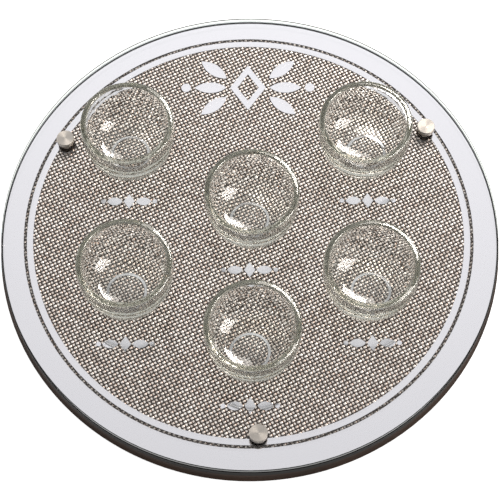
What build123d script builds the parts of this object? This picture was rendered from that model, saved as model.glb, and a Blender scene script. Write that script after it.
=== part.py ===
from build123d import *
import math
import os

# Seder plate: a glass disc with silvered rings over a woven sheet on a board, held by three
# capped screws, with six loose glass bowls. Origin on the table under the middle of the plate,
# +Z up, +Y away from the reader, millimetres.

# Glass disc
GLASS_RADIUS = 199.5
GLASS_THICK = 4.0
GLASS_ARRIS = 0.5

# Silvering on the underside of the glass
FILM_THICK = 0.2
PRINT_SHIFT_X = -1.0
RIM_BAND_WIDTH = 18.0
RING_GAP = 2.6
RING_WIDTH = 5.0
PLACE_RING_RADIUS = 17.5
PLACE_RING_WIDTH = 2.1

# Woven sheet and board
WEAVE_THICK = 1.0
WEAVE_INSET = 0.7
BOARD_THICK = 15.0
BOARD_OVERHANG = 0.3
BOARD_UPRIGHT = 7.0
BOARD_FLARE = 2.4
BOARD_LIP = 1.6
BOARD_ROUND = 0.8

# Rubber feet
FOOT_HEIGHT = 3.0
FOOT_RADIUS = 11.0
FOOT_DRAFT = 1.0
FOOT_ROUND = 0.6
FOOT_INSET = 56.0
FOOT_COUNT = 4

# Capped screws that hold the glass
POST_INSET = 27.9
POST_TURN = 1.9
POST_ANGLES = {"right": 30.0, "left": 150.0, "front": 270.0}
CAP_RADIUS = 7.1
CAP_HEIGHT = 5.2
CAP_CHAMFER = 0.5
CAP_GROOVE_DROP = 1.5
CAP_GROOVE_WIDTH = 0.7
CAP_GROOVE_DEPTH = 0.35
CAP_ROOF = 1.4
WASHER_RADIUS = 6.5
WASHER_THICK = 0.8
SCREW_RADIUS = 2.5
SCREW_CLEARANCE = 0.25
SCREW_TIP_GAP = 0.4
THREAD_CLEARANCE = 0.05
HEAD_RADIUS = 4.75
HEAD_HEIGHT = 3.0
HEAD_ROUND = 0.8
HEAD_DEPTH = 4.0
HEAD_CLEARANCE = 0.75
HEX_ACROSS_FLATS = 4.0
HEX_DEPTH = 1.8
BUSH_WALL = 1.7
BUSH_CLEARANCE = 0.1
BUSH_TOP_GAP = 0.2

# Pressed glass bowl
BOWL_RADIUS = 37.5
BOWL_HEIGHT = 46.5
BOWL_SWELL_HEIGHT = 36.0
BOWL_FOOT_INSET = 16.5
BOWL_HEEL_RADIUS = 13.0
BOWL_RIM_WIDTH = 4.2
BOWL_FLOOR_THICK = 6.5
BOWL_FLOOR_INSET = 16.3
BOWL_HOLLOW_HEEL_RADIUS = 11.0
BOWL_FOOT_LAND = 4.0
BOWL_KICK_SLOPE = 1.5
BOWL_KICK_HEIGHT = 0.6

# Middles of the silver rings under the bowls, from the edge of the print
UPPER_SIDE_INSET = 102.5
UPPER_BACK_INSET = 129.0
LOWER_SIDE_INSET = 103.0
LOWER_FRONT_INSET = 146.5
FRONT_INSET = 95.5
MIDDLE_SHIFT_X = 0.7
CENTRE_SHIFT_Y = 9.5

# How far off its ring each bowl was set down
BOWL_OFFSETS = {
    "upper_left": (0.3, 2.7),
    "upper_right": (-3.1, 2.9),
    "centre": (1.9, 2.7),
    "lower_left": (1.1, 4.8),
    "lower_right": (-2.2, 2.9),
    "front": (2.0, 4.4),
}

# Silver ornaments
PLACE_ORNAMENT_DROP = 43.0
PLACE_LOZENGE = (9.0, 13.2)
PLACE_LEAF = (12.5, 7.0)
PLACE_DOT_RADIUS = 1.9
PLACE_SPACE = 1.0
TITLE_INSET = 66.0
TITLE_LOZENGE = (30.0, 43.0)
TITLE_LOZENGE_LINE = 6.0
TITLE_LEAF = (27.0, 10.0)
TITLE_LEAF_SPREAD = 38.0
TITLE_LEAF_LIFT = 9.0
TITLE_DOT_RADIUS = 4.0
TITLE_SPACE = 3.0

# Levels of the stack
Z_BOARD = FOOT_HEIGHT
Z_WEAVE = Z_BOARD + BOARD_THICK
Z_FILM = Z_WEAVE + WEAVE_THICK
Z_GLASS = Z_FILM + FILM_THICK
Z_TOP = Z_GLASS + GLASS_THICK
Z_CAP = Z_TOP + WASHER_THICK

# Radii that follow from the glass
BOARD_RADIUS = GLASS_RADIUS + BOARD_OVERHANG
RIM_BAND_OUTER = GLASS_RADIUS - GLASS_ARRIS
RIM_BAND_INNER = RIM_BAND_OUTER - RIM_BAND_WIDTH
RING_OUTER = RIM_BAND_INNER - RING_GAP
POST_CIRCLE = GLASS_RADIUS - POST_INSET
FOOT_CIRCLE = BOARD_RADIUS - FOOT_INSET
BUSH_BORE = SCREW_RADIUS + SCREW_CLEARANCE
BUSH_RADIUS = BUSH_BORE + BUSH_WALL
GLASS_HOLE = BUSH_RADIUS + BUSH_CLEARANCE
PRINT = (PRINT_SHIFT_X, 0.0)
TITLE_Y = GLASS_RADIUS - TITLE_INSET

# Middles of the silver rings from the middle of the print
UPPER_X = GLASS_RADIUS - UPPER_SIDE_INSET
UPPER_Y = GLASS_RADIUS - UPPER_BACK_INSET
LOWER_X = GLASS_RADIUS - LOWER_SIDE_INSET
LOWER_Y = LOWER_FRONT_INSET - GLASS_RADIUS
RINGS = {
    "upper_left": (-UPPER_X, UPPER_Y),
    "upper_right": (UPPER_X, UPPER_Y),
    "centre": (MIDDLE_SHIFT_X, CENTRE_SHIFT_Y),
    "lower_left": (-LOWER_X, LOWER_Y),
    "lower_right": (LOWER_X, LOWER_Y),
    "front": (MIDDLE_SHIFT_X, FRONT_INSET - GLASS_RADIUS),
}

# Radii that follow from the bowl
BOWL_FOOT_RADIUS = BOWL_RADIUS - BOWL_FOOT_INSET
BOWL_HOLLOW_RADIUS = BOWL_RADIUS - BOWL_RIM_WIDTH
BOWL_FLOOR_RADIUS = BOWL_HOLLOW_RADIUS - BOWL_FLOOR_INSET
BOWL_KICK_RADIUS = BOWL_FOOT_RADIUS - BOWL_FOOT_LAND - BOWL_KICK_SLOPE

UPRIGHT = (Align.CENTER, Align.CENTER, Align.MIN)


def save(node, shape):
    export_step(shape, f"parts/{node}.step")


def disc(radius, height, x=0.0, y=0.0, z=0.0):
    return Pos(x, y, z) * Cylinder(radius, height, align=UPRIGHT)


def turned(outline):
    return revolve(Plane.XZ * make_face(outline), Axis.Z)


def on_circle(radius, degrees):
    turn = math.radians(degrees)
    return radius * math.cos(turn), radius * math.sin(turn)


def post_places():
    return {name: on_circle(POST_CIRCLE, angle + POST_TURN) for name, angle in POST_ANGLES.items()}


def ring_place(name):
    x, y = RINGS[name]
    return PRINT[0] + x, PRINT[1] + y


def bowl_place(name):
    x, y = ring_place(name)
    dx, dy = BOWL_OFFSETS[name]
    return x + dx, y + dy


# Board: upright edge at the top, then a cove that spreads to a rounded lip at the bottom
def base_board():
    foot = BOARD_RADIUS + BOARD_FLARE
    shoulder = Z_WEAVE - BOARD_UPRIGHT
    lip = Z_BOARD + BOARD_LIP
    outline = [
        Line((0, Z_BOARD), (foot - BOARD_ROUND, Z_BOARD)),
        RadiusArc((foot - BOARD_ROUND, Z_BOARD), (foot, Z_BOARD + BOARD_ROUND), -BOARD_ROUND),
        Line((foot, Z_BOARD + BOARD_ROUND), (foot, lip)),
        TangentArc((BOARD_RADIUS, shoulder), (foot, lip), tangent=(0, -1)),
        Line((BOARD_RADIUS, shoulder), (BOARD_RADIUS, Z_WEAVE)),
        Polyline((BOARD_RADIUS, Z_WEAVE), (0, Z_WEAVE), (0, Z_BOARD)),
    ]
    board = turned(outline)
    for x, y in post_places().values():
        board -= disc(BUSH_BORE, BOARD_THICK, x, y, Z_BOARD)
        board -= disc(HEAD_RADIUS + HEAD_CLEARANCE, HEAD_DEPTH, x, y, Z_BOARD)
    return board


def weave_sheet():
    sheet = disc(GLASS_RADIUS - WEAVE_INSET, WEAVE_THICK, z=Z_WEAVE)
    for x, y in post_places().values():
        sheet -= disc(GLASS_HOLE, WEAVE_THICK, x, y, Z_WEAVE)
    return sheet


def glass_plate():
    glass = disc(GLASS_RADIUS, GLASS_THICK, z=Z_GLASS)
    glass = chamfer(glass.edges(), GLASS_ARRIS)
    for x, y in post_places().values():
        glass -= disc(GLASS_HOLE, GLASS_THICK, x, y, Z_GLASS)
    return glass


# Silver films, between the weave and the glass
def film(face):
    return extrude(Pos(0, 0, Z_FILM) * face, FILM_THICK)


def ring_face(outer, inner, x, y):
    return Pos(x, y) * (Circle(outer) - Circle(inner))


def leaf(size, x, y, degrees):
    length, width = size
    outline = [
        ThreePointArc((0, 0), (length / 2, width / 2), (length, 0)),
        ThreePointArc((length, 0), (length / 2, -width / 2), (0, 0)),
    ]
    return Pos(x, y) * Rot(0, 0, degrees) * make_face(outline)


def lozenge(size, x, y):
    width, height = size
    corners = [(width / 2, 0), (0, height / 2), (-width / 2, 0), (0, -height / 2)]
    return Pos(x, y) * make_face(Polyline(*corners, close=True))


def silver_rim_band():
    return film(Circle(RIM_BAND_OUTER) - Pos(*PRINT) * Circle(RIM_BAND_INNER))


def silver_inner_ring():
    ring = film(ring_face(RING_OUTER, RING_OUTER - RING_WIDTH, *PRINT))
    for x, y in post_places().values():
        ring -= disc(GLASS_HOLE, FILM_THICK, x, y, Z_FILM)
    return ring


def silver_place_rings():
    inner = PLACE_RING_RADIUS - PLACE_RING_WIDTH
    return [film(ring_face(PLACE_RING_RADIUS, inner, *ring_place(name))) for name in RINGS]


def silver_title_ornament():
    x, y = PRINT[0], PRINT[1] + TITLE_Y
    width, height = TITLE_LOZENGE
    line = TITLE_LOZENGE_LINE
    opening = (width - 2 * line, height - 2 * line * height / width)
    faces = [lozenge(TITLE_LOZENGE, x, y) - lozenge(opening, x, y)]
    root = width / 2 + TITLE_SPACE
    tip = root + TITLE_LEAF[0] + TITLE_SPACE + TITLE_DOT_RADIUS
    for side, heading in ((1, 0), (-1, 180)):
        faces.append(leaf(TITLE_LEAF, x + side * root, y, heading))
        faces.append(Pos(x + side * tip, y) * Circle(TITLE_DOT_RADIUS))
        for way in (1, -1):
            turn = heading + side * way * TITLE_LEAF_SPREAD
            faces.append(leaf(TITLE_LEAF, x + side * root, y + way * TITLE_LEAF_LIFT, turn))
    return [film(face) for face in faces]


def silver_place_ornaments():
    root = PLACE_LOZENGE[0] / 2 + PLACE_SPACE
    tip = root + PLACE_LEAF[0] + PLACE_SPACE + PLACE_DOT_RADIUS
    faces = []
    for name in RINGS:
        x, y = ring_place(name)
        y -= PLACE_ORNAMENT_DROP
        faces.append(lozenge(PLACE_LOZENGE, x, y))
        for side, heading in ((1, 0), (-1, 180)):
            faces.append(leaf(PLACE_LEAF, x + side * root, y, heading))
            faces.append(Pos(x + side * tip, y) * Circle(PLACE_DOT_RADIUS))
    return [film(face) for face in faces]


# Fasteners, drawn on the Z axis and moved to their holes
def cap():
    groove_top = CAP_HEIGHT - CAP_GROOVE_DROP
    groove_foot = groove_top - CAP_GROOVE_WIDTH
    groove_radius = CAP_RADIUS - CAP_GROOVE_DEPTH
    bore = SCREW_RADIUS + THREAD_CLEARANCE
    corners = [
        (bore, 0),
        (CAP_RADIUS, 0),
        (CAP_RADIUS, groove_foot),
        (groove_radius, groove_foot + CAP_GROOVE_WIDTH / 2),
        (CAP_RADIUS, groove_top),
        (CAP_RADIUS, CAP_HEIGHT - CAP_CHAMFER),
        (CAP_RADIUS - CAP_CHAMFER, CAP_HEIGHT),
        (0, CAP_HEIGHT),
        (0, CAP_HEIGHT - CAP_ROOF),
        (bore, CAP_HEIGHT - CAP_ROOF),
    ]
    return Pos(0, 0, Z_CAP) * turned(Polyline(*corners, close=True))


def cap_washer():
    return disc(WASHER_RADIUS, WASHER_THICK, z=Z_TOP) - disc(BUSH_BORE, WASHER_THICK, z=Z_TOP)


def glass_bush():
    height = Z_TOP - BUSH_TOP_GAP - Z_WEAVE
    return disc(BUSH_RADIUS, height, z=Z_WEAVE) - disc(BUSH_BORE, height, z=Z_WEAVE)


def clamp_screw():
    seat = Z_BOARD + HEAD_DEPTH
    tip = Z_CAP + CAP_HEIGHT - CAP_ROOF - SCREW_TIP_GAP
    head = disc(HEAD_RADIUS, HEAD_HEIGHT, z=seat - HEAD_HEIGHT)
    head = fillet(head.edges().sort_by(Axis.Z)[0], HEAD_ROUND)
    socket = RegularPolygon(HEX_ACROSS_FLATS / 2, 6, major_radius=False)
    head -= extrude(Pos(0, 0, seat - HEAD_HEIGHT) * socket, HEX_DEPTH)
    return head + disc(SCREW_RADIUS, tip - seat, z=seat)


def foot():
    body = Cone(FOOT_RADIUS - FOOT_DRAFT, FOOT_RADIUS, FOOT_HEIGHT, align=UPRIGHT)
    return fillet(body.edges().sort_by(Axis.Z)[0], FOOT_ROUND)


# One side of the bowl's wall: a heel arc that rolls up from the floor into a long swelling arc
class WallCurve:
    def __init__(self, floor_radius, floor_z, heel, swell):
        reach = swell - floor_radius
        rise = BOWL_SWELL_HEIGHT - floor_z - heel
        self.radius = (reach**2 + rise**2 - heel**2) / (2 * (reach - heel))
        self.middle = Vector(swell - self.radius, BOWL_SWELL_HEIGHT)
        heel_middle = Vector(floor_radius, floor_z + heel)
        outward = (heel_middle - self.middle).normalized()
        self.start = Vector(floor_radius, floor_z)
        self.join = heel_middle + outward * heel
        halfway = (outward + Vector(0, -1)).normalized()
        self.heel_mid = heel_middle + halfway * heel

    def at(self, z):
        run = math.sqrt(self.radius**2 - (z - self.middle.Y)**2)
        return Vector(self.middle.X + run, z)

    def edges(self, top):
        heel = ThreePointArc(self.start, self.heel_mid, self.join)
        side = ThreePointArc(self.join, self.at((self.join.Y + top) / 2), self.at(top))
        return [heel, side]


def bowl():
    lip = BOWL_HEIGHT - BOWL_RIM_WIDTH / 2
    outer = WallCurve(BOWL_FOOT_RADIUS, 0.0, BOWL_HEEL_RADIUS, BOWL_RADIUS)
    inner = WallCurve(
        BOWL_FLOOR_RADIUS, BOWL_FLOOR_THICK, BOWL_HOLLOW_HEEL_RADIUS, BOWL_HOLLOW_RADIUS
    )
    crown = Vector((outer.at(lip).X + inner.at(lip).X) / 2, BOWL_HEIGHT)
    underside = Polyline(
        (0, BOWL_KICK_HEIGHT),
        (BOWL_KICK_RADIUS, BOWL_KICK_HEIGHT),
        (BOWL_KICK_RADIUS + BOWL_KICK_SLOPE, 0),
        (BOWL_FOOT_RADIUS, 0),
    )
    outline = [
        underside,
        *outer.edges(lip),
        ThreePointArc(outer.at(lip), crown, inner.at(lip)),
        *inner.edges(lip),
        Polyline((BOWL_FLOOR_RADIUS, BOWL_FLOOR_THICK), (0, BOWL_FLOOR_THICK), (0, BOWL_KICK_HEIGHT)),
    ]
    return turned(outline)


def main():
    os.makedirs("parts", exist_ok=True)
    save("base_board", base_board())
    save("weave_sheet", weave_sheet())
    save("glass_plate", glass_plate())
    save("silver_rim_band", silver_rim_band())
    save("silver_inner_ring", silver_inner_ring())
    save("silver_place_rings", Compound(children=silver_place_rings()))
    save("silver_title_ornament", Compound(children=silver_title_ornament()))
    save("silver_place_ornaments", Compound(children=silver_place_ornaments()))
    fasteners = {
        "cap": cap(),
        "cap_washer": cap_washer(),
        "glass_bush": glass_bush(),
        "clamp_screw": clamp_screw(),
    }
    for place, (x, y) in post_places().items():
        for piece, shape in fasteners.items():
            save(f"{piece}_{place}", Pos(x, y, 0) * shape)
    for number in range(FOOT_COUNT):
        x, y = on_circle(FOOT_CIRCLE, (number + 0.5) * 360 / FOOT_COUNT)
        save(f"foot_{number + 1}", Pos(x, y, 0) * foot())
    for name in RINGS:
        x, y = bowl_place(name)
        save(f"bowl_{name}", Pos(x, y, Z_TOP) * bowl())


main()
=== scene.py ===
import math

import bmesh
import bpy
from bpy.props import FloatProperty, FloatVectorProperty, IntProperty, PointerProperty
from mathutils import Matrix, Vector


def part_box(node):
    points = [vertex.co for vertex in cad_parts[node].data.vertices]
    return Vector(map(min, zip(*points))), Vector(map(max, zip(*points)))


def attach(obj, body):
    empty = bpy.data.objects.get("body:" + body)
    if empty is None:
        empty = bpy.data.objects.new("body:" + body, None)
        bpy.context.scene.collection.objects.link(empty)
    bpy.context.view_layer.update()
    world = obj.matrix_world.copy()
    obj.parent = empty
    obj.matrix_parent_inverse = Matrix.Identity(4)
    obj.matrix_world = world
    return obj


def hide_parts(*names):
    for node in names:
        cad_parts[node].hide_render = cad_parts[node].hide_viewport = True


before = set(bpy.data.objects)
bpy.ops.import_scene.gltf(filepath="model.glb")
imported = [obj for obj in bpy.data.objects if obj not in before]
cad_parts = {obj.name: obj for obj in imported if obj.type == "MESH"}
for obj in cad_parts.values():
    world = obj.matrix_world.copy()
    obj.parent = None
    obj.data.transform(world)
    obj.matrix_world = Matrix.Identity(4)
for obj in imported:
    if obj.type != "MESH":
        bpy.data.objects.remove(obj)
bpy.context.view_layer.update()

bl_info = {
    "name": "Seder plate",
    "version": (1, 0, 0),
    "blender": (4, 5, 0),
    "location": "3D View > Sidebar > Seder plate",
    "description": "Dresses a glass seder plate, its woven sheet and its six glass bowls",
    "category": "Object",
}

MM = 0.001
GLASS_INDEX = 1.52
PLATE = "plate"
POSTS = ("right", "left", "front")
BOWLS = ("upper_left", "upper_right", "centre", "lower_left", "lower_right", "front")
FEET = ("foot_1", "foot_2", "foot_3", "foot_4")
SILVER = (
    "silver_rim_band",
    "silver_inner_ring",
    "silver_place_rings",
    "silver_title_ornament",
    "silver_place_ornaments",
)


def linear(hex_code):
    """An sRGB hex colour as linear red, green, blue and alpha."""
    channels = [int(hex_code[i:i + 2], 16) / 255 for i in (1, 3, 5)]
    rgb = [c / 12.92 if c <= 0.04045 else ((c + 0.055) / 1.055) ** 2.4 for c in channels]
    return (*rgb, 1.0)


def size_of(node):
    low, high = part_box(node)
    return high - low


def middle_of(node):
    low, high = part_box(node)
    return (low + high) / 2


GLASS_LOW, GLASS_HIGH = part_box("glass_plate")
WEAVE_LOW, WEAVE_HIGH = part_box("weave_sheet")
BOARD_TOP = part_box("base_board")[1].z
POST_PLACES = [middle_of(f"cap_{post}").xy for post in POSTS]
BUSH_RADIUS = size_of("glass_bush_front").x / 2
# Flats that stand for a full turn
SHEET_SIDES = 256
BOWL_SIDES = 144
CAP_SIDES = 96


# Settings that a user would change


class WeaveSettings(bpy.types.PropertyGroup):
    """Plain weave of metallised yarn under the glass."""

    warp_spacing: FloatProperty(
        name="Warp spacing", description="From one warp thread to the next",
        default=2.97 * MM, unit="LENGTH")
    weft_spacing: FloatProperty(
        name="Weft spacing", description="From one weft thread to the next",
        default=2.80 * MM, unit="LENGTH")
    thread_width: FloatProperty(
        name="Thread width", description="Width of a thread where it lies on top",
        default=2.3 * MM, unit="LENGTH")
    rise: FloatProperty(
        name="Rise", description="Height of a thread over the backing where it lies on top",
        default=0.36 * MM, unit="LENGTH")
    backing: FloatProperty(
        name="Backing", description="Thickness of the backing cloth",
        default=0.55 * MM, unit="LENGTH")
    turn: FloatProperty(
        name="Turn", description="Direction of the weft threads from the plate's left to right",
        default=math.radians(26.4), subtype="ANGLE")
    reach: FloatProperty(
        name="Reach", description="Radius of the weave that shows inside the rim band",
        default=183.0 * MM, unit="LENGTH")
    seed: IntProperty(
        name="Seed", description="Draw of the threads' small differences", default=7)
    thread_colour: FloatVectorProperty(
        name="Thread", description="Colour on top of the threads", subtype="COLOR", size=4,
        default=linear("#FAF6F1"))
    # Painted shade: the yarn is drawn in this dark brown where it lies low between the threads
    painted_groove_shade: FloatVectorProperty(
        name="Groove", description="Colour low between the threads", subtype="COLOR", size=4,
        default=linear("#553F31"))
    # Painted shade: the share of the yarn's colour left in the narrow gap between ring and rim band
    painted_gap_shade: FloatProperty(
        name="Gap light", description="Share of the light that gets down between ring and rim band",
        default=0.35)


class BowlSettings(bpy.types.PropertyGroup):
    """Profile of a pressed glass bowl, beside the radius and height that its box gives."""

    swell_height: FloatProperty(
        name="Swell height", description="Height of the widest point above the foot",
        default=36.0 * MM, unit="LENGTH")
    foot_radius: FloatProperty(
        name="Foot radius", description="Where the flat foot ends", default=21.0 * MM, unit="LENGTH")
    heel_radius: FloatProperty(
        name="Heel radius", description="Rounding from the foot into the side",
        default=13.0 * MM, unit="LENGTH")
    rim_width: FloatProperty(
        name="Rim width", description="Thickness of the wall at the rim",
        default=4.2 * MM, unit="LENGTH")
    floor_thick: FloatProperty(
        name="Floor", description="Thickness of the floor at its edge", default=6.5 * MM, unit="LENGTH")
    floor_radius: FloatProperty(
        name="Floor radius", description="Where the floor inside ends", default=16.5 * MM, unit="LENGTH")
    hollow_heel_radius: FloatProperty(
        name="Hollow heel radius", description="Rounding from the floor into the side, inside",
        default=14.0 * MM, unit="LENGTH")
    dish: FloatProperty(
        name="Dish", description="Slope of the hollow's floor where it ends", subtype="ANGLE",
        default=math.radians(16))
    kick_radius: FloatProperty(
        name="Kick radius", description="Radius of the hollow under the foot",
        default=15.5 * MM, unit="LENGTH")
    kick_slope: FloatProperty(
        name="Kick slope", description="Width of the slope round the hollow under the foot",
        default=1.5 * MM, unit="LENGTH")
    kick_height: FloatProperty(
        name="Kick height", description="Depth of the hollow under the foot",
        default=0.6 * MM, unit="LENGTH")
    foot_gap: FloatProperty(
        name="Foot gap", description="Air that stays between foot and plate",
        default=0.06 * MM, unit="LENGTH")


class PlateSettings(bpy.types.PropertyGroup):
    """Glass disc, board and fittings."""

    film_gap: FloatProperty(
        name="Film gap", description="Air between the glass and its silvering, to keep them apart",
        default=0.05 * MM, unit="LENGTH")
    silver_colour: FloatVectorProperty(
        name="Silver", description="Colour of the silvering", subtype="COLOR", size=4,
        default=linear("#F8F7FC"))
    board_colour: FloatVectorProperty(
        name="Board", description="Stain on the board's spreading foot", subtype="COLOR", size=4,
        default=linear("#43332A"))
    # Painted shade: the upright edge is drawn near black, darker than the board's own dark stain, because
    # it stands in shade
    edge_lacquer_and_shade: FloatVectorProperty(
        name="Edge", description="Dark lacquer on the board's upright edge", subtype="COLOR", size=4,
        default=linear("#0C0907"))
    cap_colour: FloatVectorProperty(
        name="Cap", description="Nickel plating of the caps", subtype="COLOR", size=4,
        default=linear("#C6BFB7"))


class StageSettings(bpy.types.PropertyGroup):
    """Camera, floor and light."""

    camera_place: FloatVectorProperty(
        name="Camera", description="Where the camera stands", size=3, subtype="TRANSLATION",
        unit="LENGTH", default=(-2.1 * MM, -513.05 * MM, 1131.4 * MM))
    camera_tilt: FloatProperty(
        name="Tilt", description="How far the camera looks down", subtype="ANGLE",
        default=math.radians(65.93))
    camera_turn: FloatProperty(
        name="Turn", description="How far the camera turns to the right", subtype="ANGLE",
        default=math.radians(0.248))
    lens: FloatProperty(
        name="Lens", description="Focal length in millimetres on a 36 mm sensor", default=109.42)
    key_power: FloatProperty(
        name="Key light", description="Power of the softbox at the back right", default=42.0,
        unit="POWER")
    side_power: FloatProperty(
        name="Side light", description="Power of the low softbox at the front right", default=6.0,
        unit="POWER")
    weave_power: FloatProperty(
        name="Weave light", default=4.0, unit="POWER",
        description="Power of the high softbox at the back left that lights only the threads")
    rim_power: FloatProperty(
        name="Rim light", description="Power of the softbox at the back right that lights only the bowls",
        default=80.0, unit="POWER")
    glint_power: FloatProperty(
        name="Glint", description="Power of the softbox at the front right that lights only the bowls",
        default=72.0, unit="POWER")
    tent_level: FloatProperty(
        name="Roof", description="Brightness of the tent's roof", default=0.38)
    front_level: FloatProperty(
        name="Front", description="Share of the tent's light that is left in front", default=0.5)
    glow_level: FloatProperty(
        name="Glow", description="Brightness of the glow at the back", default=1.05)
    glow_turn: FloatProperty(
        name="Glow bearing", description="Bearing of the glow from the plate's right", subtype="ANGLE",
        default=math.radians(86))
    glow_rise: FloatProperty(
        name="Glow height", description="Height of the glow above the floor", subtype="ANGLE",
        default=math.radians(45))
    glow_reach: FloatProperty(
        name="Glow reach", description="Where the glow ends", subtype="ANGLE", default=math.radians(80))
    floor_colour: FloatVectorProperty(
        name="Floor", description="Colour of the floor", subtype="COLOR", size=4,
        default=linear("#F4F4F4"))
    floor_glow: FloatProperty(
        name="Floor glow", description="What the floor adds to look white", default=0.85)


# Shared helpers


def add(tree, kind, inputs=None, **settings):
    """Adds a node, sets its properties, and sets or links its inputs by name or number."""
    node = tree.nodes.new(kind)
    for name, value in settings.items():
        setattr(node, name, value)
    for key, value in (inputs or {}).items():
        if isinstance(value, bpy.types.NodeSocket):
            tree.links.new(value, node.inputs[key])
        else:
            node.inputs[key].default_value = value
    return node


def new_material(name):
    material = bpy.data.materials.new(name)
    material.use_nodes = True
    material.node_tree.nodes.clear()
    return material, material.node_tree


def finish_material(tree, surface, volume=None):
    links = {"Surface": surface}
    if volume:
        links["Volume"] = volume
    add(tree, "ShaderNodeOutputMaterial", links)


def coat(node, material):
    """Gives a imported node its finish."""
    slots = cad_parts[node].data.materials
    slots.clear()
    slots.append(material)


def new_piece(name, mesh, body, replaced=(), materials=()):
    """Links a finished mesh as a piece that rides on a body."""
    mesh.name = name
    for material in materials:
        mesh.materials.append(material)
    piece = bpy.data.objects.new(name, mesh)
    bpy.context.scene.collection.objects.link(piece)
    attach(piece, body)
    if replaced:
        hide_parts(*replaced)
    return piece


def arc(start, through, end, steps):
    """Points on the arc from start to end by way of a point between, without the start."""
    (ax, ay), (bx, by), (cx, cy) = start, through, end
    d = 2 * (ax * (by - cy) + bx * (cy - ay) + cx * (ay - by))
    a, b, c = ax * ax + ay * ay, bx * bx + by * by, cx * cx + cy * cy
    middle = Vector(((a * (by - cy) + b * (cy - ay) + c * (ay - by)) / d,
                     (a * (cx - bx) + b * (ax - cx) + c * (bx - ax)) / d))
    first = Vector(start) - middle
    second, third = Vector(through) - middle, Vector(end) - middle
    sweep = second.angle_signed(first) + third.angle_signed(second)
    return [middle + Matrix.Rotation(sweep * i / steps, 2) @ first for i in range(1, steps + 1)]


def turned(outline, sides, place=(0.0, 0.0)):
    """A mesh turned from an outline of radius and height. Its UV map runs round and along."""
    bm = bmesh.new()
    uv = bm.loops.layers.uv.new("turned")
    rings = []
    for radius, height in outline:
        count = sides if radius > 1e-7 else 1
        ring = []
        for i in range(count):
            angle = 2 * math.pi * i / sides
            x = place[0] + radius * math.cos(angle)
            y = place[1] + radius * math.sin(angle)
            ring.append(bm.verts.new((x, y, height)))
        rings.append(ring)
    along = 0.0
    for k in range(len(outline) - 1):
        low, high = rings[k], rings[k + 1]
        step = (Vector(outline[k + 1]) - Vector(outline[k])).length
        for i in range(sides):
            j = (i + 1) % sides
            corners = [(low[i % len(low)], i, along), (low[j % len(low)], i + 1, along),
                       (high[j % len(high)], i + 1, along + step), (high[i % len(high)], i, along + step)]
            if len(low) == 1:
                corners.pop(1)
            if len(high) == 1:
                corners.pop(-1)
            face = bm.faces.new([corner[0] for corner in corners])
            for loop, (_, turn, length) in zip(face.loops, corners):
                loop[uv].uv = (turn / sides, length / MM)
        along += step
    bmesh.ops.remove_doubles(bm, verts=bm.verts, dist=1e-7)
    bmesh.ops.recalc_face_normals(bm, faces=bm.faces)
    mesh = bpy.data.meshes.new("turned")
    bm.to_mesh(mesh)
    bm.free()
    mesh.shade_smooth()
    mesh.set_sharp_from_angle(angle=math.radians(35))
    return mesh


def evaluated(mesh, add_modifiers):
    """The mesh with the modifiers that a function adds, as a plain mesh."""
    workpiece = bpy.data.objects.new("workpiece", mesh)
    bpy.context.scene.collection.objects.link(workpiece)
    add_modifiers(workpiece)
    graph = bpy.context.evaluated_depsgraph_get()
    result = bpy.data.meshes.new_from_object(workpiece.evaluated_get(graph), depsgraph=graph)
    bpy.data.objects.remove(workpiece)
    return result


def copied(node, move):
    """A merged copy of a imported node's mesh, with each corner's height given by a function."""
    bm = bmesh.new()
    bm.from_mesh(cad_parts[node].data)
    bmesh.ops.remove_doubles(bm, verts=bm.verts, dist=1e-6)
    bm.verts.index_update()
    places = [(corner.co.x, corner.co.y, move(corner.co.z)) for corner in bm.verts]
    faces = [[corner.index for corner in face.verts] for face in bm.faces]
    bm.free()
    mesh = bpy.data.meshes.new(node)
    mesh.from_pydata(places, [], faces)
    mesh.shade_smooth()
    mesh.set_sharp_from_angle(angle=math.radians(20))
    return mesh


def joined(*meshes):
    """Several meshes as one."""
    bm = bmesh.new()
    for mesh in meshes:
        bm.from_mesh(mesh)
        bpy.data.meshes.remove(mesh)
    result = bpy.data.meshes.new("joined")
    bm.to_mesh(result)
    bm.free()
    return result


# Finishes


def mottled(tree, size, detail, dark, light):
    """A cloudy pattern of a real size: its noise, and the colour that it gives between two hex colours."""
    at = add(tree, "ShaderNodeTexCoord").outputs["Object"]
    cloud = add(tree, "ShaderNodeTexNoise", {"Vector": at, "Scale": 1 / size, "Detail": detail})
    colour = add(tree, "ShaderNodeMix",
                 {"Factor": cloud.outputs["Fac"], "A": linear(dark), "B": linear(light)}, data_type="RGBA")
    return cloud.outputs["Fac"], colour.outputs["Result"]


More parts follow.
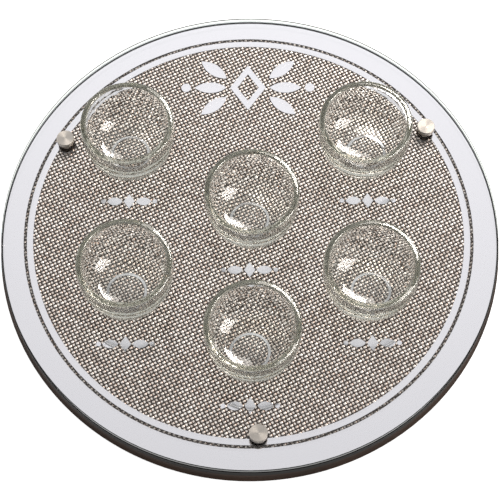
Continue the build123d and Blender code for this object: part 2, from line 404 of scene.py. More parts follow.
def stained_board(settings):
    """Fibre board with a walnut stain and satin lacquer: fine streaks run round its turned edge."""
    material, tree = new_material("stained_board")
    at = add(tree, "ShaderNodeTexCoord").outputs["Object"]
    xyz = add(tree, "ShaderNodeSeparateXYZ", {0: at})
    flat = add(tree, "ShaderNodeVectorMath", {0: at, 1: (1.0, 1.0, 0.0)}, operation="MULTIPLY")
    radius = add(tree, "ShaderNodeVectorMath", {0: flat.outputs[0]}, operation="LENGTH").outputs["Value"]
    ring = add(tree, "ShaderNodeCombineXYZ", {0: radius, 1: xyz.outputs["Z"]})
    streaks = add(tree, "ShaderNodeTexNoise",
                  {"Vector": ring.outputs[0], "Scale": 1 / (1.2 * MM), "Detail": 3.0, "Roughness": 0.6})
    patches = add(tree, "ShaderNodeTexNoise",
                  {"Vector": at, "Scale": 1 / (60 * MM), "Detail": 2.0})
    mixed = add(tree, "ShaderNodeMath", {0: streaks.outputs["Fac"], 1: patches.outputs["Fac"]},
                operation="MULTIPLY")
    tone = add(tree, "ShaderNodeMapRange", {0: mixed.outputs[0], 1: 0.12, 2: 0.40, 3: 0.0, 4: 1.0})
    stain = add(tree, "ShaderNodeMix",
                {"Factor": tone.outputs[0], "A": linear("#2C221C"), "B": settings.board_colour},
                data_type="RGBA")
    # Painted shade: the upright band at the top of the edge takes the near-black edge colour over the stain
    upright_height, blend = 7.0 * MM, 0.6 * MM
    shoulder = BOARD_TOP - upright_height
    upright = add(tree, "ShaderNodeMapRange",
                  {0: xyz.outputs["Z"], 1: shoulder - blend, 2: shoulder + blend, 3: 0.0, 4: 1.0})
    colour = add(tree, "ShaderNodeMix",
                 {"Factor": upright.outputs[0], "A": stain.outputs["Result"], "B": settings.edge_lacquer_and_shade},
                 data_type="RGBA")
    bump = add(tree, "ShaderNodeBump",
               {"Strength": 0.25, "Distance": 0.2 * MM, "Height": streaks.outputs["Fac"]})
    shader = add(tree, "ShaderNodeBsdfPrincipled",
                 {"Base Color": colour.outputs["Result"], "Roughness": 0.5, "Specular IOR Level": 0.07,
                  "Normal": bump.outputs[0]})
    finish_material(tree, shader.outputs[0])
    return material


def metallised_yarn(settings, name, tint):
    """Polyester yarn wound with aluminium foil: a bright spot on each knuckle, with painted shade that
    turns it brown low in the grooves.
    """
    material, tree = new_material(name)
    at = add(tree, "ShaderNodeTexCoord").outputs["Object"]
    height = add(tree, "ShaderNodeSeparateXYZ", {0: at}).outputs["Z"]
    low = WEAVE_LOW.z + settings.backing
    # Painted shade: the lower the yarn lies, the nearer it is to the groove colour; it keeps the thread
    # colour on top
    painted_height_shade = add(tree, "ShaderNodeMapRange",
               {0: height, 1: low + 0.3 * settings.rise, 2: low + 0.95 * settings.rise, 3: 0.0, 4: 1.0},
               interpolation_type="SMOOTHSTEP")
    shade = add(tree, "ShaderNodeAttribute", attribute_name="yarn_shade").outputs["Fac"]
    top = add(tree, "ShaderNodeMix",
              {"Factor": shade, "A": linear(tint), "B": settings.thread_colour}, data_type="RGBA")
    colour = add(tree, "ShaderNodeMix",
                 {"Factor": painted_height_shade.outputs[0], "A": settings.painted_groove_shade, "B": top.outputs["Result"]},
                 data_type="RGBA")
    # Painted shade: just outside the silver ring the yarn is darkened, as the narrow gap there lets little
    # light down to it
    off = add(tree, "ShaderNodeVectorMath", {0: at, 1: middle_of("silver_inner_ring")},
              operation="SUBTRACT")
    flat = add(tree, "ShaderNodeVectorMath", {0: off.outputs[0], 1: (1.0, 1.0, 0.0)}, operation="MULTIPLY")
    radius = add(tree, "ShaderNodeVectorMath", {0: flat.outputs[0]}, operation="LENGTH").outputs["Value"]
    ring = size_of("silver_inner_ring").x / 2
    light = add(tree, "ShaderNodeMapRange",
                {0: radius, 1: ring - 0.6 * MM, 2: ring + 0.1 * MM, 3: 1.0, 4: settings.painted_gap_shade})
    lit = add(tree, "ShaderNodeVectorMath", {0: colour.outputs["Result"], "Scale": light.outputs[0]},
              operation="SCALE")
    shader = add(tree, "ShaderNodeBsdfPrincipled",
                 {"Base Color": lit.outputs[0], "Metallic": 0.9, "Roughness": 0.22})
    finish_material(tree, shader.outputs[0])
    return material


def backing_cloth():
    """Dark brown cotton glued to the board: dull, with a faint fleck."""
    material, tree = new_material("backing_cloth")
    _, colour = mottled(tree, 1.5 * MM, 2.0, "#1D1611", "#3A2F27")
    shader = add(tree, "ShaderNodeBsdfPrincipled", {"Base Color": colour, "Roughness": 0.9})
    finish_material(tree, shader.outputs[0])
    return material


def silver_film(settings):
    """Silvering on the back of float glass: a bright cool mirror with the faintest haze."""
    material, tree = new_material("silver_film")
    at = add(tree, "ShaderNodeTexCoord").outputs["Object"]
    haze = add(tree, "ShaderNodeTexNoise", {"Vector": at, "Scale": 1 / (40 * MM), "Detail": 3.0})
    rough = add(tree, "ShaderNodeMapRange", {0: haze.outputs["Fac"], 3: 0.015, 4: 0.05})
    shader = add(tree, "ShaderNodeBsdfPrincipled",
                 {"Base Color": settings.silver_colour, "Metallic": 1.0, "Roughness": rough.outputs[0]})
    finish_material(tree, shader.outputs[0])
    return material


def plate_glass():
    """Clear float glass: what lies under it shows straight through, with a mirror gloss on top."""
    material, tree = new_material("plate_glass")
    # The gloss grows at a slant, alike from above and below, because no ray is bent here
    slant = add(tree, "ShaderNodeLayerWeight", {"Blend": 0.5}).outputs["Facing"]
    steep = add(tree, "ShaderNodeMath", {0: slant, 1: 5.0}, operation="POWER")
    head_on = ((GLASS_INDEX - 1) / (GLASS_INDEX + 1)) ** 2
    gloss = add(tree, "ShaderNodeMath", {0: steep.outputs[0], 1: 1 - head_on, 2: head_on},
                operation="MULTIPLY_ADD")
    clear = add(tree, "ShaderNodeBsdfTransparent", {"Color": linear("#FFFFFF")})
    shine = add(tree, "ShaderNodeBsdfGlossy", {"Color": linear("#FFFFFF"), "Roughness": 0.0})
    pane = add(tree, "ShaderNodeMixShader", {0: gloss.outputs[0], 1: clear.outputs[0], 2: shine.outputs[0]})
    finish_material(tree, pane.outputs[0])
    return material


def under_glass():
    """Underside of the float glass: it lies on the sheet, so it is clear and has no gloss."""
    material, tree = new_material("under_glass")
    clear = add(tree, "ShaderNodeBsdfTransparent", {"Color": linear("#FEFEFE")})
    finish_material(tree, clear.outputs[0])
    return material


def polished_edge():
    """Ground and polished edge of float glass: deep green, painted almost black as the shade where no light
    gets in.
    """
    material, tree = new_material("polished_edge")
    _, colour = mottled(tree, 3 * MM, 2.0, "#141917", "#262D2A")
    shader = add(tree, "ShaderNodeBsdfPrincipled",
                 {"Base Color": colour, "Roughness": 0.12, "IOR": GLASS_INDEX, "Specular IOR Level": 0.25})
    # From inside, through the top, only the upper part of the far edge is a dark line, painted as shade;
    # lower down it is clear
    painted_dark_line = 1.9 * MM
    at = add(tree, "ShaderNodeTexCoord").outputs["Object"]
    height = add(tree, "ShaderNodeSeparateXYZ", {0: at}).outputs["Z"]
    low = add(tree, "ShaderNodeMath", {0: height, 1: GLASS_HIGH.z - painted_dark_line}, operation="LESS_THAN")
    behind = add(tree, "ShaderNodeNewGeometry").outputs["Backfacing"]
    inside = add(tree, "ShaderNodeMath", {0: behind, 1: low.outputs[0]}, operation="MULTIPLY").outputs[0]
    clear = add(tree, "ShaderNodeBsdfTransparent", {"Color": linear("#E4EAE6")})
    both = add(tree, "ShaderNodeMixShader", {0: inside, 1: shader.outputs[0], 2: clear.outputs[0]})
    finish_material(tree, both.outputs[0])
    return material


def bowl_glass():
    """Pressed soda-lime glass, fire polished: clear with a warm grey depth and a slow mould ripple."""
    material, tree = new_material("bowl_glass")
    at = add(tree, "ShaderNodeTexCoord").outputs["Object"]
    ripple = add(tree, "ShaderNodeTexNoise", {"Vector": at, "Scale": 1 / (7 * MM), "Detail": 2.0})
    bump = add(tree, "ShaderNodeBump",
               {"Strength": 0.3, "Distance": 0.5 * MM, "Height": ripple.outputs["Fac"]})
    shader = add(tree, "ShaderNodeBsdfPrincipled",
                 {"Base Color": linear("#FCFDFC"), "Roughness": 0.0, "IOR": GLASS_INDEX,
                  "Transmission Weight": 1.0, "Normal": bump.outputs[0]})
    depth = add(tree, "ShaderNodeVolumeAbsorption", {"Color": linear("#C8C6B4"), "Density": 16.0})
    finish_material(tree, shader.outputs[0], depth.outputs[0])
    return material


def turned_nickel(settings):
    """Nickel plate over turned brass: fine rings on the end face that spread light into a bow tie."""
    material, tree = new_material("turned_nickel")
    rings = add(tree, "ShaderNodeUVMap", uv_map="turned").outputs[0]
    along = add(tree, "ShaderNodeSeparateXYZ", {0: rings})
    track = add(tree, "ShaderNodeCombineXYZ", {0: along.outputs["Y"]})
    # The map along the outline counts millimetres; a turning mark is drawn 0.35 mm wide so that it shows
    marks = add(tree, "ShaderNodeTexNoise", {"Vector": track.outputs[0], "Scale": 1 / 0.35, "Detail": 2.0})
    rough = add(tree, "ShaderNodeMapRange", {0: marks.outputs["Fac"], 3: 0.26, 4: 0.44})
    bump = add(tree, "ShaderNodeBump",
               {"Strength": 0.3, "Distance": 0.05 * MM, "Height": marks.outputs["Fac"]})
    round_it = add(tree, "ShaderNodeTangent", direction_type="UV_MAP", uv_map="turned")
    shader = add(tree, "ShaderNodeBsdfPrincipled",
                 {"Base Color": settings.cap_colour, "Metallic": 1.0, "Roughness": rough.outputs[0],
                  "Anisotropic": 0.75, "Tangent": round_it.outputs[0], "Normal": bump.outputs[0]})
    finish_material(tree, shader.outputs[0])
    return material


def moulded_rubber():
    """Black moulded rubber: dull, with a dusty bloom."""
    material, tree = new_material("moulded_rubber")
    bloom, colour = mottled(tree, 4 * MM, 4.0, "#141414", "#2B2A29")
    rough = add(tree, "ShaderNodeMapRange", {0: bloom, 3: 0.6, 4: 0.85})
    shader = add(tree, "ShaderNodeBsdfPrincipled", {"Base Color": colour, "Roughness": rough.outputs[0]})
    finish_material(tree, shader.outputs[0])
    return material


def natural_nylon():
    """Natural nylon tube: milky and waxy."""
    material, tree = new_material("natural_nylon")
    _, colour = mottled(tree, 2 * MM, 2.0, "#DDD8CB", "#EDE9DE")
    shader = add(tree, "ShaderNodeBsdfPrincipled",
                 {"Base Color": colour, "Roughness": 0.45, "Subsurface Weight": 0.2,
                  "Subsurface Scale": 1.0 * MM})
    finish_material(tree, shader.outputs[0])
    return material


def zinc_plate():
    """Zinc plated screw steel: a bluish grey with cloudy patches."""
    material, tree = new_material("zinc_plate")
    cloud, colour = mottled(tree, 1.5 * MM, 3.0, "#A2A6AC", "#C3C6CA")
    rough = add(tree, "ShaderNodeMapRange", {0: cloud, 3: 0.28, 4: 0.45})
    shader = add(tree, "ShaderNodeBsdfPrincipled",
                 {"Base Color": colour, "Metallic": 1.0, "Roughness": rough.outputs[0]})
    finish_material(tree, shader.outputs[0])
    return material


# Pieces


class SEDER_OT_board(bpy.types.Operator):
    """Finishes the board and its rubber feet"""

    bl_idname = "seder.board"
    bl_label = "Board and feet"

    def execute(self, context):
        coat("base_board", stained_board(context.scene.seder_plate))
        rubber = moulded_rubber()
        for foot in FEET:
            coat(foot, rubber)
        return {"FINISHED"}


def knuckle_tree():
    """A tree that lays one set of a weave's knuckles inside a circle."""
    tree = bpy.data.node_groups.new("Woven knuckles", "GeometryNodeTree")
    face = tree.interface
    face.new_socket("Geometry", in_out="INPUT", socket_type="NodeSocketGeometry")
    for name in ("Spacing X", "Spacing Y", "Length", "Width", "Rise", "Level", "Turn", "Heading", "Reach",
                 "Parity", "Clearance"):
        face.new_socket(name, in_out="INPUT", socket_type="NodeSocketFloat")
    for post in POSTS:
        face.new_socket(f"Post {post}", in_out="INPUT", socket_type="NodeSocketVector")
    face.new_socket("Seed", in_out="INPUT", socket_type="NodeSocketInt")
    face.new_socket("Material", in_out="INPUT", socket_type="NodeSocketMaterial")
    face.new_socket("Geometry", in_out="OUTPUT", socket_type="NodeSocketGeometry")
    given = add(tree, "NodeGroupInput").outputs

    # One knuckle: a lens along X with a flat crown, its grid drawn in to the crown's edge
    lens = add(tree, "GeometryNodeMeshGrid",
               {"Size X": 2.0, "Size Y": 2.0, "Vertices X": 5, "Vertices Y": 4})
    at = add(tree, "ShaderNodeSeparateXYZ", {0: add(tree, "GeometryNodeInputPosition").outputs[0]})
    sides = []
    for axis, pull, stay in (("X", 0.1, 0.9), ("Y", -1.07, 2.07)):
        square = add(tree, "ShaderNodeMath", {0: at.outputs[axis], 1: 2.0}, operation="POWER")
        share = add(tree, "ShaderNodeMath", {0: square.outputs[0], 1: pull, 2: stay},
                    operation="MULTIPLY_ADD")
        sides.append(add(tree, "ShaderNodeMath", {0: at.outputs[axis], 1: share.outputs[0]},
                         operation="MULTIPLY").outputs[0])
    quarter = add(tree, "ShaderNodeMath", {0: sides[0], 1: math.pi / 2}, operation="MULTIPLY")
    arch = add(tree, "ShaderNodeMath", {0: quarter.outputs[0]}, operation="COSINE")
    square = add(tree, "ShaderNodeMath", {0: sides[1], 1: 2.0}, operation="POWER")
    under = add(tree, "ShaderNodeMath", {0: 1.0, 1: square.outputs[0]}, operation="SUBTRACT")
    bulge = add(tree, "ShaderNodeMath", {0: under.outputs[0]}, operation="SQRT")
    taper = add(tree, "ShaderNodeMapRange", {0: arch.outputs[0], 3: 0.55, 4: 1.0})
    half_length = add(tree, "ShaderNodeMath", {0: given["Length"], 1: 0.5}, operation="MULTIPLY")
    half_width = add(tree, "ShaderNodeMath", {0: given["Width"], 1: 0.5}, operation="MULTIPLY")
    x = add(tree, "ShaderNodeMath", {0: sides[0], 1: half_length.outputs[0]}, operation="MULTIPLY")
    breadth = add(tree, "ShaderNodeMath", {0: taper.outputs[0], 1: half_width.outputs[0]},
                  operation="MULTIPLY")
    y = add(tree, "ShaderNodeMath", {0: sides[1], 1: breadth.outputs[0]}, operation="MULTIPLY")
    dome = add(tree, "ShaderNodeMath", {0: arch.outputs[0], 1: bulge.outputs[0]}, operation="MULTIPLY")
    short = add(tree, "ShaderNodeMath", {0: 1.0, 1: dome.outputs[0]}, operation="SUBTRACT")
    fall = add(tree, "ShaderNodeMath", {0: short.outputs[0], 1: 2.0}, operation="POWER")
    crown = add(tree, "ShaderNodeMath", {0: 1.0, 1: fall.outputs[0]}, operation="SUBTRACT")
    z = add(tree, "ShaderNodeMath", {0: crown.outputs[0], 1: given["Rise"]}, operation="MULTIPLY")
    shaped = add(tree, "ShaderNodeCombineXYZ", {0: x.outputs[0], 1: y.outputs[0], 2: z.outputs[0]})
    knuckle = add(tree, "GeometryNodeSetPosition",
                  {"Geometry": lens.outputs["Mesh"], "Position": shaped.outputs[0]})

    # Crossings of the two sets of threads, every other one of them for this set
    counts = []
    for spacing in ("Spacing X", "Spacing Y"):
        share = add(tree, "ShaderNodeMath", {0: given["Reach"], 1: given[spacing]}, operation="DIVIDE")
        half = add(tree, "ShaderNodeMath", {0: share.outputs[0]}, operation="CEIL")
        both = add(tree, "ShaderNodeMath", {0: half.outputs[0], 1: 2.0, 2: 1.0}, operation="MULTIPLY_ADD")
        gaps = add(tree, "ShaderNodeMath", {0: both.outputs[0], 1: 1.0}, operation="SUBTRACT")
        size = add(tree, "ShaderNodeMath", {0: gaps.outputs[0], 1: given[spacing]}, operation="MULTIPLY")
        counts.append((both.outputs[0], size.outputs[0]))
    crossings = add(tree, "GeometryNodeMeshGrid",
                    {"Vertices X": counts[0][0], "Vertices Y": counts[1][0],
                     "Size X": counts[0][1], "Size Y": counts[1][1]})
    spot = add(tree, "ShaderNodeSeparateXYZ", {0: add(tree, "GeometryNodeInputPosition").outputs[0]})
    numbers = []
    for axis, spacing in (("X", "Spacing X"), ("Y", "Spacing Y")):
        share = add(tree, "ShaderNodeMath", {0: spot.outputs[axis], 1: given[spacing]}, operation="DIVIDE")
        numbers.append(add(tree, "ShaderNodeMath", {0: share.outputs[0]}, operation="ROUND").outputs[0])
    total = add(tree, "ShaderNodeMath", {0: numbers[0], 1: numbers[1]}, operation="ADD")
    odd = add(tree, "ShaderNodeMath", {0: total.outputs[0], 1: 2.0}, operation="FLOORED_MODULO")
    other = add(tree, "FunctionNodeCompare", {0: odd.outputs[0], 1: given["Parity"], "Epsilon": 0.5},
                data_type="FLOAT", operation="NOT_EQUAL")
    thread = add(tree, "GeometryNodeStoreNamedAttribute",
                 {"Geometry": crossings.outputs["Mesh"], "Name": "thread", "Value": numbers[1]},
                 data_type="FLOAT", domain="POINT")
    own = add(tree, "GeometryNodeDeleteGeometry",
              {"Geometry": thread.outputs[0], "Selection": other.outputs[0]}, domain="POINT")
    turn = add(tree, "ShaderNodeCombineXYZ", {2: given["Turn"]})
    level = add(tree, "ShaderNodeCombineXYZ", {2: given["Level"]})
    laid = add(tree, "GeometryNodeTransform",
               {"Geometry": own.outputs[0], "Translation": level.outputs[0], "Rotation": turn.outputs[0]})

    # Trimmed to the circle and round the posts
    where = add(tree, "GeometryNodeInputPosition").outputs[0]
    flat = add(tree, "ShaderNodeVectorMath", {0: where, 1: (1.0, 1.0, 0.0)}, operation="MULTIPLY")
    out = add(tree, "ShaderNodeVectorMath", {0: flat.outputs[0]}, operation="LENGTH")
    outside = add(tree, "FunctionNodeCompare", {0: out.outputs["Value"], 1: given["Reach"]},
                  data_type="FLOAT", operation="GREATER_THAN").outputs[0]
    for post in POSTS:
        off = add(tree, "ShaderNodeVectorMath", {0: flat.outputs[0], 1: given[f"Post {post}"]},
                  operation="DISTANCE")
        near = add(tree, "FunctionNodeCompare", {0: off.outputs["Value"], 1: given["Clearance"]},
                   data_type="FLOAT", operation="LESS_THAN")
        outside = add(tree, "FunctionNodeBooleanMath", {0: outside, 1: near.outputs[0]},
                      operation="OR").outputs[0]
    trimmed = add(tree, "GeometryNodeDeleteGeometry", {"Geometry": laid.outputs[0], "Selection": outside},
                  domain="POINT")

    # Small differences: each thread and each knuckle has its own shade, tilt and size
    number = add(tree, "GeometryNodeInputNamedAttribute", {"Name": "thread"}, data_type="FLOAT")
    by_thread = add(tree, "FunctionNodeRandomValue",
                    {2: 0.0, 3: 0.35, "ID": number.outputs[0], "Seed": given["Seed"]}, data_type="FLOAT")
    by_knuckle = add(tree, "FunctionNodeRandomValue", {2: 0.0, 3: 0.65, "Seed": given["Seed"]},
                     data_type="FLOAT")
    shade = add(tree, "ShaderNodeMath", {0: by_thread.outputs[1], 1: by_knuckle.outputs[1]},
                operation="ADD")
    shaded = add(tree, "GeometryNodeStoreNamedAttribute",
                 {"Geometry": trimmed.outputs[0], "Name": "yarn_shade", "Value": shade.outputs[0]},
                 data_type="FLOAT", domain="POINT")
    tilt = add(tree, "FunctionNodeRandomValue",
               {0: (-0.03, -0.025, -0.05), 1: (0.03, 0.025, 0.05), "Seed": given["Seed"]},
               data_type="FLOAT_VECTOR")
    heading = add(tree, "ShaderNodeCombineXYZ", {2: given["Heading"]})
    facing = add(tree, "ShaderNodeVectorMath", {0: tilt.outputs[0], 1: heading.outputs[0]}, operation="ADD")
    swell = add(tree, "FunctionNodeRandomValue", {2: 0.94, 3: 1.04, "Seed": given["Seed"]},
                data_type="FLOAT")
    placed = add(tree, "GeometryNodeInstanceOnPoints",
                 {"Points": shaded.outputs[0], "Instance": knuckle.outputs[0],
                  "Rotation": facing.outputs[0], "Scale": swell.outputs[1]})
    real = add(tree, "GeometryNodeRealizeInstances", {"Geometry": placed.outputs[0]})
    facets = add(tree, "GeometryNodeSetShadeSmooth", {"Geometry": real.outputs[0], "Shade Smooth": False})
    done = add(tree, "GeometryNodeSetMaterial",
               {"Geometry": facets.outputs[0], "Material": given["Material"]})
    add(tree, "NodeGroupOutput", {0: done.outputs[0]})
    return tree


class SEDER_OT_weave(bpy.types.Operator):
    """Lays the woven sheet: backing cloth, warp threads and weft threads"""

    bl_idname = "seder.weave"
    bl_label = "Woven sheet"

    def execute(self, context):
        weave = context.scene.seder_weave
        low, high = WEAVE_LOW.z, WEAVE_HIGH.z
        rim = (WEAVE_HIGH.x - WEAVE_LOW.x) / 2
        inner = weave.reach + weave.weft_spacing
        ground = low + weave.backing
        sheet = copied("weave_sheet", lambda z: min(z, ground))
        corners = [(inner, ground), (rim, ground), (rim, high), (inner, high), (inner, ground)]
        backing = joined(sheet, turned(corners, SHEET_SIDES))
        new_piece("weave_backing", backing, PLATE, ["weave_sheet"], [backing_cloth()])
        tree = knuckle_tree()
        sets = (
            ("weft_threads", 0.0, 0.0, weave.warp_spacing, "#D3C8BF"),
            ("warp_threads", 1.0, math.pi / 2, weave.weft_spacing, "#DAD0C8"),
        )
        for name, parity, heading, spacing, tint in sets:
            material = metallised_yarn(weave, f"metallised_{name}", tint)
            values = {
                "Spacing X": weave.warp_spacing,
                "Spacing Y": weave.weft_spacing,
                "Length": 2 * spacing - weave.thread_width,
                "Width": weave.thread_width,
                "Rise": weave.rise,
                "Level": ground,
                "Turn": weave.turn,
                "Heading": weave.turn + heading,
                "Reach": weave.reach,
                "Parity": parity,
                "Clearance": BUSH_RADIUS + spacing,
                "Seed": weave.seed,
                "Material": material,
            }
            for post, place in zip(POSTS, POST_PLACES):
                values[f"Post {post}"] = (*place, 0.0)

            def lay(workpiece):
                modifier = workpiece.modifiers.new("Weave", "NODES")
                modifier.node_group = tree
                for item in tree.interface.items_tree:
                    if item.in_out == "INPUT" and item.name in values:
                        modifier[item.identifier] = values[item.name]

            threads = evaluated(bpy.data.meshes.new(name), lay)
            new_piece(name, threads, PLATE)
        return {"FINISHED"}


class SEDER_OT_silvering(bpy.types.Operator):
    """Silvers the rings, bands and ornaments under the glass"""

    bl_idname = "seder.silvering"
    bl_label = "Silvering"

    def execute(self, context):
        film = silver_film(context.scene.seder_plate)
        for node in SILVER:
            coat(node, film)
        return {"FINISHED"}


class SEDER_OT_glass(bpy.types.Operator):
    """Lays the drilled glass disc with its ground edge"""

    bl_idname = "seder.glass"
    bl_label = "Glass disc"

    def execute(self, context):
        plate = context.scene.seder_plate
        disc = copied("glass_plate", lambda z: max(z, GLASS_LOW.z + plate.film_gap))
        for face in disc.polygons:
            if face.normal.z < -0.99:
                face.material_index = 2
            elif face.normal.z < 0.99:
                face.material_index = 1
        finishes = [plate_glass(), polished_edge(), under_glass()]
        new_piece("glass_disc", disc, PLATE, ["glass_plate"], finishes)
        return {"FINISHED"}


class SEDER_OT_caps(bpy.types.Operator):
    """Turns the three caps with their groove and eased edges"""

    bl_idname = "seder.caps"
    bl_label = "Caps"

    def execute(self, context):
        nickel = turned_nickel(context.scene.seder_plate)
        for post, place in zip(POSTS, POST_PLACES):
            node = f"cap_{post}"
            low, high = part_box(node)
            radius = size_of(node).x / 2
            bore, bevel, ease = 2.55 * MM, 0.35 * MM, 0.12 * MM
            # The groove is drawn tall and deep, so that it shows from afar
            groove_roof, groove_floor = high.z - 0.9 * MM, high.z - 2.5 * MM
            groove_deep, chamfer, chamfer_slope = 1.5 * MM, 1.1 * MM, 0.7
            outline = [
                (bore, low.z),
                (radius - ease, low.z),
                (radius, low.z + ease),
                (radius, groove_floor - chamfer),
                (radius - chamfer * chamfer_slope, groove_floor),
                (radius - groove_deep, groove_floor),
                (radius - groove_deep, groove_roof),
                (radius - ease, groove_roof),
                (radius, groove_roof + ease),
                (radius, high.z - bevel),
                (radius - bevel, high.z),
                (radius * 0.5, high.z),
                (0, high.z),
            ]
            cap = turned(outline, CAP_SIDES, place)
            new_piece(f"turned_{node}", cap, PLATE, [node], [nickel])
        return {"FINISHED"}


class SEDER_OT_fasteners(bpy.types.Operator):
    """Finishes the washers, bushes and clamp screws"""

    bl_idname = "seder.fasteners"
    bl_label = "Washers, bushes and screws"

    def execute(self, context):
        rubber, nylon, zinc = moulded_rubber(), natural_nylon(), zinc_plate()
        for post in POSTS:
            coat(f"cap_washer_{post}", rubber)
            coat(f"glass_bush_{post}", nylon)
            coat(f"clamp_screw_{post}", zinc)
        return {"FINISHED"}


def wall(floor_radius, floor_z, heel, swell_radius, swell_z, top):
    """A bowl wall's side from floor to top: a heel arc that rolls into a long swelling arc."""
    reach = swell_radius - floor_radius
    rise = swell_z - floor_z - heel
    radius = (reach**2 + rise**2 - heel**2) / (2 * (reach - heel))
    middle = Vector((swell_radius - radius, swell_z))
    heel_middle = Vector((floor_radius, floor_z + heel))
    outward = (heel_middle - middle).normalized()
    start = Vector((floor_radius, floor_z))
    join = heel_middle + outward * heel
    through = heel_middle + (outward + Vector((0, -1))).normalized() * heel

    def at(z):
        return Vector((middle.x + math.sqrt(radius**2 - (z - swell_z)**2), z))

    return [start, *arc(start, through, join, 20), *arc(join, at((join.y + top) / 2), at(top), 22)]


def bowl_outline(bowl, radius, low, high):
    """Half the section of a bowl, from under the foot round the rim to the middle of its floor."""
    lip = high - bowl.rim_width / 2
    foot = low + bowl.foot_gap
    swell = low + bowl.swell_height
    outer = wall(bowl.foot_radius, foot, bowl.heel_radius, radius, swell, lip)
    inner = wall(bowl.floor_radius, low + bowl.floor_thick, bowl.hollow_heel_radius,
                 radius - bowl.rim_width, swell, lip)
    # The floor is dished: an arc that runs into the heel where both have the same slope, in the place of
    # the points below that
    sine, cosine = math.sin(bowl.dish), math.cos(bowl.dish)
    edge = Vector((bowl.floor_radius + bowl.hollow_heel_radius * sine,
                   low + bowl.floor_thick + bowl.hollow_heel_radius * (1 - cosine)))
    bend = edge.x / sine
    middle = Vector((0.0, edge.y - bend * (1 - cosine)))
    half = bowl.dish / 2
    through = Vector((bend * math.sin(half), middle.y + bend * (1 - math.cos(half))))
    floor = [middle, *arc(middle, through, edge, 10)]
    inner = [*floor, *(point for point in inner if point.y > edge.y + 0.1 * MM)]
    kick = low + bowl.kick_height
    under = [(0, kick), (bowl.kick_radius, kick), (bowl.kick_radius + bowl.kick_slope, foot)]
    # The rim's land slopes outward between two rounded corners, and is slightly crowned. The middle of
    # each corner's arc is given by its steps in from the wall and down from the top.
    inset, fall, crown = 0.84 * MM, 0.74 * MM, 0.06 * MM
    outer_in, outer_down = 0.25 * MM, 1.25 * MM
    inner_in, inner_down = 0.21 * MM, 0.71 * MM
    land_out = Vector((outer[-1].x - inset, high - fall))
    land_in = Vector((inner[-1].x + inset, high))
    corner_out = Vector((outer[-1].x - outer_in, high - outer_down))
    corner_in = Vector((inner[-1].x + inner_in, high - inner_down))
    land = (land_out + land_in) / 2 + Vector((0.0, crown))
    rim = [*arc(outer[-1], corner_out, land_out, 7), *arc(land_out, land, land_in, 8),
           *arc(land_in, corner_in, inner[-1], 7)]
    return [*under, *outer, *rim, *inner[-2::-1]]


class SEDER_OT_bowls(bpy.types.Operator):
    """Presses the six glass bowls"""

    bl_idname = "seder.bowls"
    bl_label = "Bowls"

    def execute(self, context):
        glass = bowl_glass()
        for name in BOWLS:
            node = f"bowl_{name}"
            low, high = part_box(node)
            outline = bowl_outline(context.scene.seder_bowl, size_of(node).x / 2, low.z, high.z)
            mesh = turned(outline, BOWL_SIDES, middle_of(node).xy)
            new_piece(f"glass_{node}", mesh, node, [node], [glass])
        return {"FINISHED"}


# Stage


def white_floor(stage):
    """Matt white paper that looks white to the eye and in glass, and keeps the object's shadow."""
    material, tree = new_material("white_floor")
    path = add(tree, "ShaderNodeLightPath").outputs
    seen = path["Is Camera Ray"]
    for way in ("Is Glossy Ray", "Is Transmission Ray"):
        seen = add(tree, "ShaderNodeMath", {0: seen, 1: path[way]}, operation="MAXIMUM").outputs[0]
    strength = add(tree, "ShaderNodeMath", {0: seen, 1: stage.floor_glow}, operation="MULTIPLY")
    paper = add(tree, "ShaderNodeBsdfDiffuse", {"Color": stage.floor_colour})
    glow = add(tree, "ShaderNodeEmission", {"Strength": strength.outputs[0]})
    both = add(tree, "ShaderNodeAddShader", {0: paper.outputs[0], 1: glow.outputs[0]})
    finish_material(tree, both.outputs[0])
    return material


def direction(turn, rise):
    """The unit vector at a bearing from +X and a height above the floor."""
    return Vector((math.cos(turn) * math.cos(rise), math.sin(turn) * math.cos(rise), math.sin(rise)))


def studio_world(stage):
    """A tent with white walls, a grey roof, a dim front and a broad glow at the back."""
    world = bpy.data.worlds.new("white_tent")
    bpy.context.scene.world = world
    world.use_nodes = True
    tree = world.node_tree
    tree.nodes.clear()
    way = add(tree, "ShaderNodeTexCoord").outputs["Generated"]
    xyz = add(tree, "ShaderNodeSeparateXYZ", {0: way}).outputs
    height = add(tree, "ShaderNodeMath", {0: xyz["Z"]}, operation="ARCSINE")
    wall_top, roof = math.radians(12), math.radians(38)
    tent = add(tree, "ShaderNodeMapRange",
               {0: height.outputs[0], 1: wall_top, 2: roof, 3: 1.0, 4: stage.tent_level},
               interpolation_type="SMOOTHSTEP")
    front = add(tree, "ShaderNodeMapRange", {0: xyz["Y"], 1: 0.0, 2: -0.8, 3: 1.0, 4: stage.front_level},
                interpolation_type="SMOOTHSTEP")
    cloth = add(tree, "ShaderNodeMath", {0: tent.outputs[0], 1: front.outputs[0]}, operation="MULTIPLY")
    aim = direction(stage.glow_turn, stage.glow_rise)
    near = add(tree, "ShaderNodeVectorMath", {0: way, 1: aim}, operation="DOT_PRODUCT")
    off = add(tree, "ShaderNodeMath", {0: near.outputs["Value"]}, operation="ARCCOSINE")
    glow = add(tree, "ShaderNodeMapRange",
               {0: off.outputs[0], 1: 0.0, 2: stage.glow_reach, 3: stage.glow_level, 4: 0.0},
               interpolation_type="SMOOTHSTEP")
    share = add(tree, "ShaderNodeMath", {0: cloth.outputs[0], 1: glow.outputs[0]}, operation="MAXIMUM")
    light = add(tree, "ShaderNodeBackground", {"Color": linear("#FFFFFF"), "Strength": share.outputs[0]})
    add(tree, "ShaderNodeOutputWorld", {"Surface": light.outputs[0]})


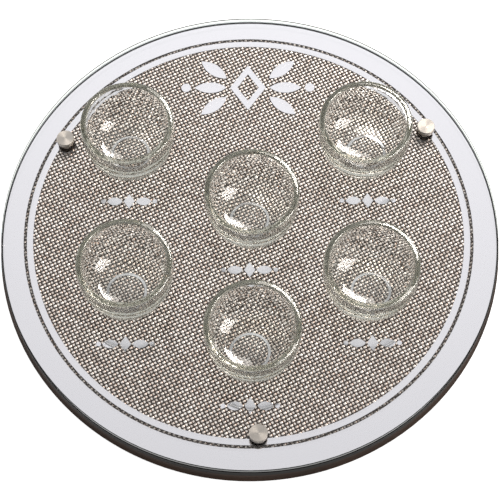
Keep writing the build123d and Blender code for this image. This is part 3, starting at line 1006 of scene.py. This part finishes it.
# Softboxes: width and height in metres, bearing from +X and height in degrees, distance in metres
SOFTBOXES = {
    "key": ((2.0, 1.0), (62, 42), 3.0),
    "side": ((1.5, 1.1), (-20, 30), 1.5),
    "weave": ((2.0, 2.0), (125, 65), 2.5),
    "rim": ((1.6, 0.95), (56, 40), 3.0),
    "glint": ((0.9, 2.2), (-16, 32), 1.8),
}


def light_group(name, pieces):
    """A collection of pieces that a lamp reaches or that block it, outside the scene's own tree."""
    group = bpy.data.collections.new(name)
    for piece in pieces:
        group.objects.link(bpy.data.objects[piece])
    return group


def softbox(name, power, blockers, reached=None):
    """An area light aimed at the middle of the glass, for some pieces or all."""
    (width, height), (turn, rise), distance = SOFTBOXES[name]
    lamp = bpy.data.lights.new(f"{name}_softbox", "AREA")
    lamp.shape = "RECTANGLE"
    lamp.size = width
    lamp.size_y = height
    lamp.energy = power
    lamp.color = linear("#FFF8F0")[:3]
    away = direction(math.radians(turn), math.radians(rise))
    box = bpy.data.objects.new(lamp.name, lamp)
    box.location = Vector((0, 0, GLASS_HIGH.z)) + away * distance
    box.rotation_euler = away.to_track_quat("Z", "Y").to_euler()
    box.visible_transmission = False
    box.light_linking.blocker_collection = blockers
    box.light_linking.receiver_collection = reached
    bpy.context.scene.collection.objects.link(box)
    return lamp


def seen_once(lamp):
    """Lets a lamp show in the glass that it lights, and not once more in what that glass is seen in."""
    lamp.use_nodes = True
    tree = lamp.node_tree
    tree.nodes.clear()
    depth = add(tree, "ShaderNodeLightPath").outputs["Ray Depth"]
    # A ray that meets a lamp counts one further, so the first reflection has a depth of 2
    first = add(tree, "ShaderNodeMath", {0: depth, 1: 2.5}, operation="LESS_THAN")
    shine = add(tree, "ShaderNodeEmission", {"Strength": first.outputs[0]})
    add(tree, "ShaderNodeOutputLight", {"Surface": shine.outputs[0]})


class SEDER_OT_stage(bpy.types.Operator):
    """Sets the floor, the light and the camera"""

    bl_idname = "seder.stage"
    bl_label = "Stage"

    def execute(self, context):
        stage = context.scene.seder_stage
        scene = context.scene
        scene.view_settings.view_transform = "Standard"
        # Thick glass leads light on by many reflections inside its walls
        scene.cycles.max_bounces = 32
        scene.cycles.glossy_bounces = 24
        scene.cycles.transmission_bounces = 32
        scene.cycles.transparent_max_bounces = 32
        mesh = bpy.data.meshes.new("floor")
        bm = bmesh.new()
        bmesh.ops.create_circle(bm, cap_ends=True, segments=64, radius=6.0,
                                matrix=Matrix.Translation((0, 0, -0.1 * MM)))
        bm.to_mesh(mesh)
        bm.free()
        mesh.materials.append(white_floor(stage))
        floor = bpy.data.objects.new("floor", mesh)
        scene.collection.objects.link(floor)
        studio_world(stage)
        # Clear glass hardly shades what it stands on, so the bowls block no lamp
        bowl_names = [f"glass_bowl_{name}" for name in BOWLS]
        opaque = light_group("opaque", [piece.name for piece in scene.objects
                                        if piece.type == "MESH" and piece.name not in bowl_names])
        threads = light_group("threads", ("warp_threads", "weft_threads"))
        bowls = light_group("bowls", bowl_names)
        softbox("key", stage.key_power, opaque)
        softbox("side", stage.side_power, opaque)
        softbox("weave", stage.weave_power, opaque, threads)
        seen_once(softbox("rim", stage.rim_power, opaque, bowls))
        seen_once(softbox("glint", stage.glint_power, opaque, bowls))
        camera = bpy.data.cameras.new("camera")
        camera.lens = stage.lens
        camera.sensor_width = 36.0
        viewer = bpy.data.objects.new("camera", camera)
        viewer.location = stage.camera_place
        viewer.rotation_euler = (math.pi / 2 - stage.camera_tilt, 0.0, -stage.camera_turn)
        scene.collection.objects.link(viewer)
        scene.camera = viewer
        return {"FINISHED"}


OPERATORS = (
    SEDER_OT_board,
    SEDER_OT_weave,
    SEDER_OT_silvering,
    SEDER_OT_glass,
    SEDER_OT_caps,
    SEDER_OT_fasteners,
    SEDER_OT_bowls,
    SEDER_OT_stage,
)


class SEDER_PT_panel(bpy.types.Panel):
    """Lists the steps that dress the plate"""

    bl_idname = "SEDER_PT_panel"
    bl_label = "Seder plate"
    bl_space_type = "VIEW_3D"
    bl_region_type = "UI"
    bl_category = "Seder plate"

    def draw(self, context):
        for operator in OPERATORS:
            self.layout.operator(operator.bl_idname)


SETTINGS = {
    "seder_weave": WeaveSettings,
    "seder_bowl": BowlSettings,
    "seder_plate": PlateSettings,
    "seder_stage": StageSettings,
}


def register():
    for group in SETTINGS.values():
        bpy.utils.register_class(group)
    for name, group in SETTINGS.items():
        setattr(bpy.types.Scene, name, PointerProperty(type=group))
    for operator in OPERATORS:
        bpy.utils.register_class(operator)
    bpy.utils.register_class(SEDER_PT_panel)


def unregister():
    bpy.utils.unregister_class(SEDER_PT_panel)
    for operator in reversed(OPERATORS):
        bpy.utils.unregister_class(operator)
    for name, group in SETTINGS.items():
        delattr(bpy.types.Scene, name)
        bpy.utils.unregister_class(group)


def main():
    register()
    for operator in OPERATORS:
        family, step = operator.bl_idname.split(".")
        getattr(getattr(bpy.ops, family), step)()


if __name__ == "__main__":
    main()
